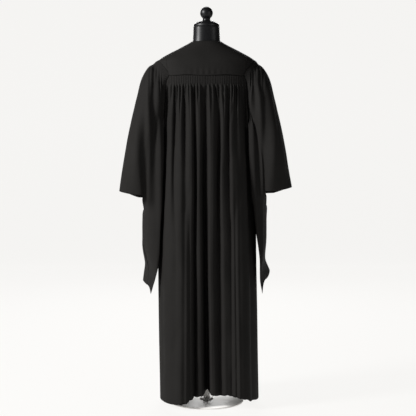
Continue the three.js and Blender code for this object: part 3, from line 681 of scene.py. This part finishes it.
def sleeve_points(name, bell_rows=92, tail_rows=72):
    sleeve = SLEEVES[name]
    round_tail = np.linspace(0, 1, 120)
    tail_from, tail_to = sleeve["tail_turns"]
    hook_turn = mix(tail_from, tail_to, 0.25)
    low, high = HEAD_TURNS[0] + 360, HEAD_TURNS[1] + 360
    turns = np.concatenate([
        mix(tail_from, tail_to, round_tail),
        np.linspace(tail_to, low, 26)[1:-1],
        np.linspace(low, high, 200),
        np.linspace(high, tail_from + 360, 22)[1:-1],
    ]) % 360
    rings = np.stack([
        armhole_ring(turns),
        *(bell_ring(ring, turns, hook_turn, sleeve["spread"]) for ring in BELL_RINGS),
        cuff_ring(sleeve["cuff"], turns, hook_turn, sleeve["spread"]),
    ])
    along = np.linspace(0, 1, bell_rows) ** 1.35
    at = along * (len(rings) - 1)
    bell = np.empty((bell_rows, len(turns), 3))
    for i in range(len(turns)):
        for axis in range(3):
            bell[:, i, axis] = curve(np.arange(len(rings)), rings[:, i, axis])(at)
    bell = clear_of_body(bell, 1.0 + 3 * ease(along / 0.3)[:, None], sleeve["side"])
    # the tail
    columns = len(round_tail)
    start = bell[-1, :columns]
    out = np.cos(2 * np.pi * round_tail)[None, :]
    back = np.sin(2 * np.pi * round_tail)[None, :]
    end = sleeve["end"]
    edge_z = mix(end["middle"], np.where(back > 0, end["back"], end["front"]), np.abs(back) ** 1.5)
    down = np.linspace(0, 1, tail_rows)[1:, None]
    z = mix(start[None, :, 2], edge_z, down)
    x_back, back_depth, x_front, front_depth, x_out, x_in = (
        curve(sleeve["tail"][:, 0], sleeve["tail"][:, k])(z) for k in range(1, 7)
    )
    sewn = ease((down - 0.5) / 0.5)
    share = (1 + rounded(back)) / 2
    middle = (x_front + x_back) / 2
    layer = np.where(out > 0, x_out, x_in)
    swell = mix(layer - middle, np.sign(out) * END_GAP, sewn) * np.abs(rounded(out))
    off_seam = ease((np.abs(round_tail - 0.5) - 0.42) / 0.08)[None, :]
    hung = np.stack([
        mix(x_front, x_back, share) + swell,
        AXIS_Y + mix(-front_depth, back_depth, share) + 0.8 * np.sign(0.5 - round_tail) * off_seam,
        z,
    ], axis=-1)
    hung = clear_of_body(hung, 4.0 * (1 - sewn) + 1.0, sleeve["side"])
    tail = mix(start[None], hung, ease(down / 0.2)[..., None])
    tail[..., 2] = z
    points = np.zeros((bell_rows + tail_rows - 1, len(turns), 3))
    mask = np.zeros(points.shape[:2], bool)
    points[:bell_rows] = bell
    points[bell_rows:, :columns] = tail
    points[bell_rows:, columns:] = bell[-1, None, columns:]
    mask[:bell_rows] = True
    mask[bell_rows:, :columns] = True
    # folds, gathers and unevenness, along the normals
    normal = outward(points)
    normal[bell_rows - 1, columns:] = normal[bell_rows - 2, columns:]
    normal[bell_rows - 1, [0, columns - 1]] = normal[bell_rows - 2, [0, columns - 1]]
    normal[bell_rows:, [0, columns - 1]] = normal[bell_rows:, [1, columns - 2]]
    x, z = points[..., 0], points[..., 2]
    down_all = np.concatenate([along, np.ones(tail_rows - 1)])[:, None]
    sewn_all = np.concatenate([np.zeros(bell_rows), sewn[:, 0]])[:, None]
    facing = np.where(normal[..., 1] > 0, ease(np.abs(normal[..., 1]) * 1.6), 0.7 * ease(-normal[..., 1]))
    inset = facing * fold_depth(sleeve["folds"], x, z) * ease(down_all / 0.2)
    inset = inset + facing * hanging_gathers(x, z) * ease((down_all - 0.05) / 0.06)
    inset = inset + 0.8 * ripple(x + 25 * np.sign(points[..., 1]), z, CLOTH_RIPPLES) * ease(down_all / 0.3)
    inset = inset * (1 - sewn_all)
    inset = inset - head_gathers(turns[None, :], down_all) * (down_all < 1)
    points = points - normal * inset[..., None]
    body_gap = 0.8 + 1.4 * ease(down_all / 0.3)
    points = clear_of_body(points, np.where(down_all > 0.02, body_gap, 0), sleeve["side"])
    points[..., 0] *= sleeve["side"]
    return points, mask


# ---- Materials -------------------------------------------------------------------------------


def linear(hex_colour):
    """An sRGB hex colour as a linear RGBA tuple."""
    values = [int(hex_colour[k:k + 2], 16) / 255 for k in (1, 3, 5)]
    return (*(v / 12.92 if v <= 0.04045 else ((v + 0.055) / 1.055) ** 2.4 for v in values), 1.0)


def add_node(tree, kind, settings=None, inputs=None):
    """Adds a shader node with its settings and its input values or links."""
    node = tree.nodes.new(kind)
    for key, value in (settings or {}).items():
        setattr(node, key, value)
    for key, value in (inputs or {}).items():
        if isinstance(value, bpy.types.NodeSocket):
            tree.links.new(value, node.inputs[key])
        else:
            node.inputs[key].default_value = value
    return node


def new_material(name):
    """An empty material with its output node."""
    material = bpy.data.materials.new(name)
    material.use_nodes = True
    tree = material.node_tree
    tree.nodes.clear()
    output = add_node(tree, "ShaderNodeOutputMaterial")
    return material, tree, output


def cloth_material(settings):
    """Plain-weave polyester and viscose gown cloth, dyed black and matt."""
    material, tree, output = new_material("gown_cloth_black_plain_weave")
    place = add_node(tree, "ShaderNodeTexCoord").outputs["Object"]
    # real threads are about 0.35 mm apart; drawn at the coarser spacing that can still show
    wave = 2 * math.pi / (settings.thread_spacing * 20)
    weft = add_node(tree, "ShaderNodeTexWave", {"bands_direction": "Z", "wave_type": "BANDS"}, {
        "Vector": place, "Scale": wave, "Distortion": 1.5, "Detail": 2.0, "Detail Scale": 3.0,
    })
    warp = add_node(tree, "ShaderNodeTexWave", {"bands_direction": "X", "wave_type": "BANDS"}, {
        "Vector": place, "Scale": wave, "Distortion": 1.5, "Detail": 2.0, "Detail Scale": 3.0,
    })
    weave = add_node(tree, "ShaderNodeMath", {"operation": "MULTIPLY"}, {
        0: weft.outputs["Fac"], 1: warp.outputs["Fac"],
    })
    slub = add_node(tree, "ShaderNodeTexNoise", None, {
        "Vector": place, "Scale": 240.0, "Detail": 4.0, "Roughness": 0.6,
    })
    rumple = add_node(tree, "ShaderNodeTexNoise", None, {
        "Vector": place, "Scale": 26.0, "Detail": 3.0, "Roughness": 0.5,
    })
    tone = add_node(tree, "ShaderNodeTexNoise", None, {
        "Vector": place, "Scale": 9.0, "Detail": 3.0, "Roughness": 0.55,
    })
    dark = linear(settings.cloth_colour)
    colour = add_node(tree, "ShaderNodeMix", {"data_type": "RGBA"}, {
        "Factor": tone.outputs["Fac"],
        "A": tuple(v * 0.86 for v in dark[:3]) + (1.0,),
        "B": tuple(v * 1.16 for v in dark[:3]) + (1.0,),
    })
    fine = add_node(tree, "ShaderNodeBump", None, {
        "Strength": 0.25, "Distance": 0.00025, "Height": weave.outputs["Value"],
    })
    uneven = add_node(tree, "ShaderNodeBump", None, {
        "Strength": 0.3, "Distance": 0.0004, "Height": slub.outputs["Fac"],
        "Normal": fine.outputs["Normal"],
    })
    soft = add_node(tree, "ShaderNodeBump", None, {
        "Strength": 0.25, "Distance": 0.003, "Height": rumple.outputs["Fac"],
        "Normal": uneven.outputs["Normal"],
    })
    rough = add_node(tree, "ShaderNodeMapRange", None, {
        "Value": slub.outputs["Fac"], "To Min": 0.66, "To Max": 0.82,
    })
    shader = add_node(tree, "ShaderNodeBsdfPrincipled", None, {
        "Base Color": colour.outputs["Result"],
        "Roughness": rough.outputs["Result"],
        "Normal": soft.outputs["Normal"],
        "Specular IOR Level": 0.04,
    })
    tree.links.new(shader.outputs["BSDF"], output.inputs["Surface"])
    return material


def lacquer_material(settings):
    """Black lacquer, sprayed and rubbed down: glossy, with a faint orange-peel waviness."""
    material, tree, output = new_material("form_black_lacquer")
    place = add_node(tree, "ShaderNodeTexCoord").outputs["Object"]
    peel = add_node(tree, "ShaderNodeTexNoise", None, {
        "Vector": place, "Scale": 160.0, "Detail": 2.0, "Roughness": 0.5,
    })
    scuff = add_node(tree, "ShaderNodeTexNoise", None, {
        "Vector": place, "Scale": 30.0, "Detail": 5.0, "Roughness": 0.65,
    })
    bump = add_node(tree, "ShaderNodeBump", None, {
        "Strength": 0.12, "Distance": 0.0003, "Height": peel.outputs["Fac"],
    })
    rough = add_node(tree, "ShaderNodeMapRange", None, {
        "Value": scuff.outputs["Fac"], "To Min": 0.38, "To Max": 0.48,
    })
    shader = add_node(tree, "ShaderNodeBsdfPrincipled", None, {
        "Base Color": linear(settings.form_colour),
        "Roughness": rough.outputs["Result"],
        "Normal": bump.outputs["Normal"],
        "Specular IOR Level": 0.3,
    })
    tree.links.new(shader.outputs["BSDF"], output.inputs["Surface"])
    return material


def powder_coat_material(settings):
    """Steel under an off-white powder coat, which is finely pebbled and satin."""
    material, tree, output = new_material("stand_powder_coated_steel")
    place = add_node(tree, "ShaderNodeTexCoord").outputs["Object"]
    pebble = add_node(tree, "ShaderNodeTexNoise", None, {
        "Vector": place, "Scale": 900.0, "Detail": 2.0, "Roughness": 0.5,
    })
    bump = add_node(tree, "ShaderNodeBump", None, {
        "Strength": 0.2, "Distance": 0.0002, "Height": pebble.outputs["Fac"],
    })
    shader = add_node(tree, "ShaderNodeBsdfPrincipled", None, {
        "Base Color": linear(settings.stand_colour),
        "Roughness": 0.45,
        "Normal": bump.outputs["Normal"],
    })
    tree.links.new(shader.outputs["BSDF"], output.inputs["Surface"])
    return material


def shared_material(settings, kind):
    makers = {
        "cloth": ("gown_cloth_black_plain_weave", cloth_material),
        "lacquer": ("form_black_lacquer", lacquer_material),
        "steel": ("stand_powder_coated_steel", powder_coat_material),
    }
    name, make = makers[kind]
    return bpy.data.materials.get(name) or make(settings)


# ---- Settings and operators ------------------------------------------------------------------


class GownSettings(PropertyGroup):
    cloth_colour: StringProperty(
        name="Cloth colour", description="sRGB colour of the dyed cloth", default="#1F1E1D",
    )
    form_colour: StringProperty(
        name="Form colour", description="sRGB colour of the form's lacquer", default="#0E0E10",
    )
    stand_colour: StringProperty(
        name="Stand colour", description="sRGB colour of the stand's coat", default="#F0EEEA",
    )
    backdrop_colour: StringProperty(
        name="Backdrop colour", description="sRGB colour of floor and backdrop", default="#F9F8F6",
    )
    cloth_thickness: FloatProperty(
        name="Cloth thickness", description="Thickness of the cloth's shell",
        default=0.0008, min=0.0002, max=0.003, unit="LENGTH",
    )
    thread_spacing: FloatProperty(
        name="Thread spacing", description="Distance between threads as drawn",
        default=0.0012, min=0.0002, max=0.005, unit="LENGTH",
    )
    key_power: FloatProperty(
        name="Key light", description="Power of the main soft light", default=335.0, min=0.0,
        unit="POWER",
    )
    fill_power: FloatProperty(
        name="Fill light", description="Power of the weak second light", default=24.0, min=0.0,
        unit="POWER",
    )


    front_power: FloatProperty(
        name="Front light", description="Power of the light before the gown, on its open front",
        default=70.0, min=0.0, unit="POWER",
    )
    backdrop_glow: FloatProperty(
        name="Backdrop glow", description="Strength of the light behind the floor and backdrop",
        default=0.93, min=0.0, unit="NONE",
    )
    air_light: FloatProperty(
        name="Air light", description="Strength of the even light from all round", default=0.05,
        min=0.0,
    )


class GOWN_OT_stage(Operator):
    """Make the pale floor and backdrop, the soft studio light and the camera"""

    bl_idname = "gown.stage"
    bl_label = "Stage"

    def execute(self, context):
        settings = context.scene.gown_settings
        make_backdrop(settings)
        make_lights(settings)
        make_camera()
        return {"FINISHED"}


class GOWN_OT_yoke(Operator):
    """Make the smooth yoke over the shoulders"""

    bl_idname = "gown.yoke"
    bl_label = "Yoke"

    def execute(self, context):
        settings = context.scene.gown_settings
        piece = grid_object("yoke_cloth", yoke_points(), thickness=settings.cloth_thickness / MM)
        piece.data.materials.append(shared_material(settings, "cloth"))
        hold(piece, "gown_cloth", "yoke")
        return {"FINISHED"}


class GOWN_OT_back(Operator):
    """Make the back panel, gathered into its band and hanging in folds"""

    bl_idname = "gown.back"
    bl_label = "Back panel"

    def execute(self, context):
        settings = context.scene.gown_settings
        piece = grid_object("back_cloth", back_points(), thickness=settings.cloth_thickness / MM)
        piece.data.materials.append(shared_material(settings, "cloth"))
        hold(piece, "gown_cloth", "back_panel")
        return {"FINISHED"}


class GOWN_OT_fronts(Operator):
    """Make the two fronts, which hang open"""

    bl_idname = "gown.fronts"
    bl_label = "Fronts"

    def execute(self, context):
        settings = context.scene.gown_settings
        for name, side in (("front_left", 1), ("front_right", -1)):
            piece = grid_object(
                f"{name}_cloth", front_points(side), thickness=settings.cloth_thickness / MM
            )
            piece.data.materials.append(shared_material(settings, "cloth"))
            hold(piece, "gown_cloth", name)
        return {"FINISHED"}


class GOWN_OT_sleeves(Operator):
    """Make both sleeves, each a bell with an elbow opening and a long closed tail"""

    bl_idname = "gown.sleeves"
    bl_label = "Sleeves"

    def execute(self, context):
        settings = context.scene.gown_settings
        for name in SLEEVES:
            points, mask = sleeve_points(name)
            piece = grid_object(
                f"{name}_cloth", points, is_ring=True, mask=mask,
                thickness=settings.cloth_thickness / MM,
            )
            piece.data.materials.append(shared_material(settings, "cloth"))
            hold(piece, "gown_cloth", name)
        return {"FINISHED"}


class GOWN_OT_form(Operator):
    """Make the limbless dress form with its neck cap and ball"""

    bl_idname = "gown.form"
    bl_label = "Dress form"

    def execute(self, context):
        settings = context.scene.gown_settings
        for piece, node in (
            (make_torso(), "form_torso"),
            (turned("form_cap_turned", cap_profile()), "form_cap"),
            (turned("form_ball_turned", ball_profile()), "form_ball"),
        ):
            piece.data.materials.append(shared_material(settings, "lacquer"))
            hold(piece, "form_lacquer", node)
        return {"FINISHED"}


class GOWN_OT_stand(Operator):
    """Make the stand's pole and round base"""

    bl_idname = "gown.stand"
    bl_label = "Stand"

    def execute(self, context):
        settings = context.scene.gown_settings
        for piece, node in (
            (turned("stand_pole_tube", pole_profile()), "stand_pole"),
            (turned("stand_base_disc", base_profile()), "stand_base"),
        ):
            piece.data.materials.append(shared_material(settings, "steel"))
            hold(piece, "stand_paint", node)
        return {"FINISHED"}


# ---- Form and stand --------------------------------------------------------------------------

TORSO_LEVELS = np.array([
    # z, wide, back, front, lean
    (1412.5, 49, 49, 49, 0),
    (1380, 50, 50, 50, 0),
    (1360, 51.5, 51, 51, 0),
    (1346, 59, 54, 53, 0),
    (1326, 98, 65, 62, 0),
    (1307, 134, 76, 73, 0),
    (1288, 160, 87, 82, 0),
    (1268, 168, 94, 89, 0),
    (1228, 169, 103, 99, 0),
    (1160, 164, 108, 108, 0),
    (1060, 150, 106, 108, 0),
    (950, 130, 94, 94, 0),
    (860, 146, 100, 98, 0),
    (780, 158, 106, 104, 0),
    (735, 156, 104, 102, 0),
    (716, 142, 92, 90, 0),
], float)


def make_torso(sides=96):
    """The smooth limbless form from its neck to the flat end under the hips."""
    torso = Outline(TORSO_LEVELS)
    levels = np.concatenate([
        np.linspace(716, 735, 6)[:-1], np.linspace(735, 1260, 60)[:-1], np.linspace(1260, 1412.5, 60),
    ])
    turns = np.linspace(-180, 180, sides + 1)[:-1]
    rings = torso.point(turns[None, :], levels[:, None])
    points = rings.reshape(-1, 3).tolist()
    faces = []
    for level in range(len(levels) - 1):
        for i in range(sides):
            j = (i + 1) % sides
            low = level * sides
            faces.append((low + i, low + sides + i, low + sides + j, low + j))
    for level, flip in ((0, False), (len(levels) - 1, True)):
        ring = [level * sides + i for i in range(sides)]
        faces.append(tuple(ring[::-1]) if flip else tuple(ring))
    return cloth_object("form_body", np.array(points), faces, 0)


def arc(centre_z, radius, start, end, count):
    angles = np.radians(np.linspace(start, end, count))
    return [(radius * math.cos(a), centre_z + radius * math.sin(a)) for a in angles]


CAP_LOW, CAP_HIGH = (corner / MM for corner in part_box("form_cap"))
BALL_LOW, BALL_HIGH = (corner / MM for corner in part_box("form_ball"))
CAP_RIM = 10  # height of the cap's upright side
DOME_FLATNESS = 3.2  # 2 is a round dome, and more is flatter on top
STEM_RADIUS = 14  # the ball's stem
BASE_EDGE = 10  # how far the base's edge lies under the top of its boss
BOSS_WALL = 12  # the boss around the pole


def cap_profile():
    """Half outline of the neck cap: an upright side and a flattened dome."""
    radius = (CAP_HIGH[0] - CAP_LOW[0]) / 2
    low, high = CAP_LOW[2], CAP_HIGH[2]
    rim = low + CAP_RIM
    dome = [
        (t, rim + (high - rim) * (1 - (t / (radius - 1)) ** DOME_FLATNESS))
        for t in np.linspace(radius - 1.2, 0, 24)
    ]
    dome[-1] = (0, high)
    return [(0, low), (radius - 1.5, low), (radius - 0.4, low + 0.4), (radius, low + 1.4),
            (radius, rim - 2), (radius - 0.3, rim - 0.8), *dome]


def ball_profile():
    """Half outline of the ball on its short stem."""
    radius = (BALL_HIGH[0] - BALL_LOW[0]) / 2
    top = BALL_HIGH[2]
    centre = top - radius
    low = BALL_LOW[2]
    stem = STEM_RADIUS
    start = -math.degrees(math.acos(stem / radius))
    ball = arc(centre, radius, start, 90, 40)
    ball[-1] = (0, top)
    return [(0, low), (stem + 1, low), (stem + 0.6, low + 1), (stem, low + 2.4), *ball]


def pole_profile():
    """Half outline of the stand's pole."""
    low, high = POLE_LOW[2] / MM, POLE_HIGH[2] / MM
    radius = (POLE_HIGH[0] - POLE_LOW[0]) / 2 / MM
    return [(0, low), (radius - 0.6, low), (radius, low + 0.6), (radius, high - 0.6),
            (radius - 0.6, high), (0, high)]


def base_profile():
    """Half outline of the round base with the boss that holds the pole."""
    low, high = (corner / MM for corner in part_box("stand_base"))
    radius = (high[0] - low[0]) / 2
    top = high[2]
    boss = (POLE_HIGH[0] - POLE_LOW[0]) / 2 / MM + BOSS_WALL
    edge = top - BASE_EDGE
    return [(0, 0), (radius - 1, 0), (radius, 1), (radius, edge - 2), (radius - 0.5, edge - 0.8),
            (radius - 2, edge), (boss + 2, edge + 2), (boss + 0.6, edge + 3), (boss, edge + 5),
            (boss, top - 1), (boss - 1, top), (0, top)]


# ---- Stage -----------------------------------------------------------------------------------


def make_backdrop(settings):
    """A pale floor that curves up into a backdrop in front of the wearer. It is translucent
    acrylic lit evenly from behind, as on a product photographer's light table."""
    width, near, far, height, bend = 3.6, 3.2, -6.0, 4.4, 1.2
    profile = [(near, 0.0), (far + bend, 0.0)]
    for k in range(1, 13):
        angle = math.radians(90 * k / 12)
        profile.append((far + bend - bend * math.sin(angle), bend - bend * math.cos(angle)))
    profile.append((far, height))
    points = [(x, y, z) for y, z in profile for x in (-width, width)]
    faces = [(2 * k, 2 * k + 1, 2 * k + 3, 2 * k + 2) for k in range(len(profile) - 1)]
    backdrop = cloth_object("studio_backdrop", np.array(points) / MM, faces, 0)
    material, tree, output = new_material("studio_backlit_acrylic")
    shader = add_node(tree, "ShaderNodeBsdfPrincipled", None, {
        "Base Color": (0.05, 0.05, 0.05, 1.0), "Roughness": 0.9,
        "Specular IOR Level": 0.1,
        "Emission Color": linear(settings.backdrop_colour),
        "Emission Strength": settings.backdrop_glow,
    })
    tree.links.new(shader.outputs["BSDF"], output.inputs["Surface"])
    backdrop.data.materials.append(material)


def soft_light(name, place, target, size, power):
    lamp = bpy.data.lights.new(name, "AREA")
    lamp.shape = "DISK"
    lamp.size = size
    lamp.energy = power
    light = bpy.data.objects.new(name, lamp)
    bpy.context.scene.collection.objects.link(light)
    light.location = place
    aim(light, target)
    return light


def aim(thing, target):

    thing.rotation_euler = (Vector(target) - thing.location).to_track_quat("-Z", "Y").to_euler()


def make_lights(settings):
    soft_light("key_softbox", (3.7, 1.85, 2.7), (0, 0, 0.8), 1.1, settings.key_power)
    soft_light("fill_softbox", (-3.2, 2.6, 1.6), (0, 0, 0.8), 1.8, settings.fill_power)
    soft_light("front_softbox", (0, -2.9, 2.2), (0, 0, 0.1), 2.0, settings.front_power)
    world = bpy.data.worlds.new("studio_air")
    world.use_nodes = True
    background = world.node_tree.nodes["Background"]
    background.inputs["Color"].default_value = (1.0, 0.995, 0.985, 1.0)
    background.inputs["Strength"].default_value = settings.air_light
    bpy.context.scene.world = world
    bpy.context.scene.view_settings.view_transform = "Standard"


def make_camera():
    """The camera stands square behind the gown, 4 m away and a little above its middle."""
    data = bpy.data.cameras.new("camera")
    camera = bpy.data.objects.new("camera", data)
    bpy.context.scene.collection.objects.link(camera)
    data.sensor_width = 36.0
    data.lens = 92.3
    across = AXIS_X * MM - 0.0056
    camera.location = (across, 4.0065, 0.95)
    aim(camera, (across, 0.0065, 0.737))
    bpy.context.scene.camera = camera


class GOWN_PT_panel(Panel):
    """Lists the gown's pieces and settings"""

    bl_label = "Graduation Gown"
    bl_idname = "GOWN_PT_panel"
    bl_space_type = "VIEW_3D"
    bl_region_type = "UI"
    bl_category = "Gown"

    def draw(self, context):
        for operator in OPERATORS:
            self.layout.operator(operator.bl_idname)
        settings = context.scene.gown_settings
        for name in GownSettings.__annotations__:
            self.layout.prop(settings, name)


OPERATORS = (
    GOWN_OT_stage, GOWN_OT_form, GOWN_OT_stand, GOWN_OT_yoke, GOWN_OT_back, GOWN_OT_fronts,
    GOWN_OT_sleeves,
)
CLASSES = (GownSettings, *OPERATORS, GOWN_PT_panel)


def register():
    for cls in CLASSES:
        bpy.utils.register_class(cls)
    bpy.types.Scene.gown_settings = PointerProperty(type=GownSettings)


def unregister():
    del bpy.types.Scene.gown_settings
    for cls in reversed(CLASSES):
        bpy.utils.unregister_class(cls)


def main():
    register()
    for operator in OPERATORS:
        group, name = operator.bl_idname.split(".")
        getattr(getattr(bpy.ops, group), name)()


if __name__ == "__main__":
    main()
